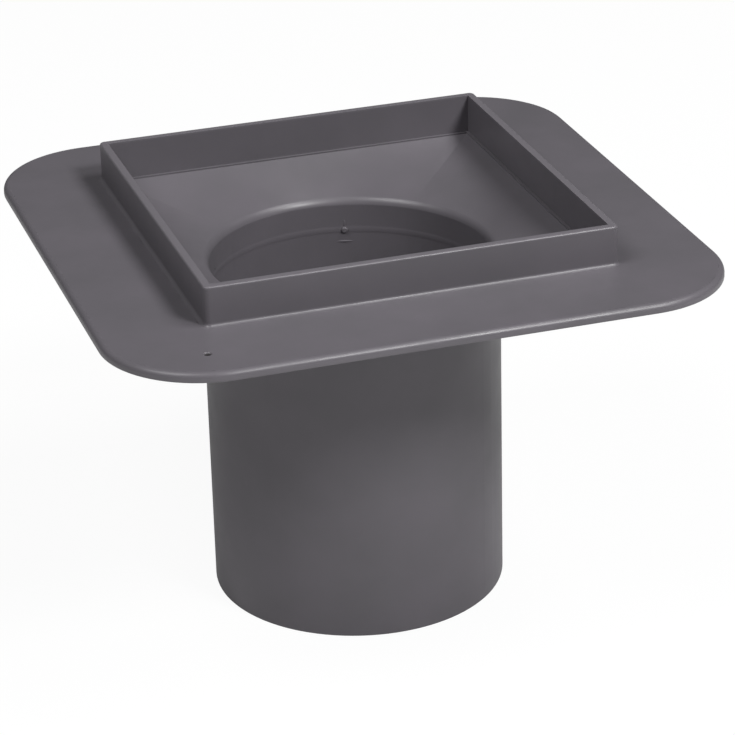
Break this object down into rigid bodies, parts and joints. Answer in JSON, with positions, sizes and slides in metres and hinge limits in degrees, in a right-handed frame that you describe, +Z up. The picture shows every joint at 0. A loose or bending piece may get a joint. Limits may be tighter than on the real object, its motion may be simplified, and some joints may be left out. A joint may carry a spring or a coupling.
{
  "type": "floor drain funnel",
  "caption": "Moulded square floor drain funnel: wide flange with rounded corners, raised square grate frame, sloping pan and round pipe spigot.",
  "frame": {"origin": "centre of the spigot's open lower end, on the level that the part stands on", "axes": "+Z up along the spigot's axis towards the frame, +X and +Y along the sides of the square frame"},
  "size_m": [0.224, 0.224, 0.1576],
  "materials": {
    "body": "satin"
  },
  "bodies": {
    "root": {"drain_funnel": "body"}
  },
  "joints": []
}
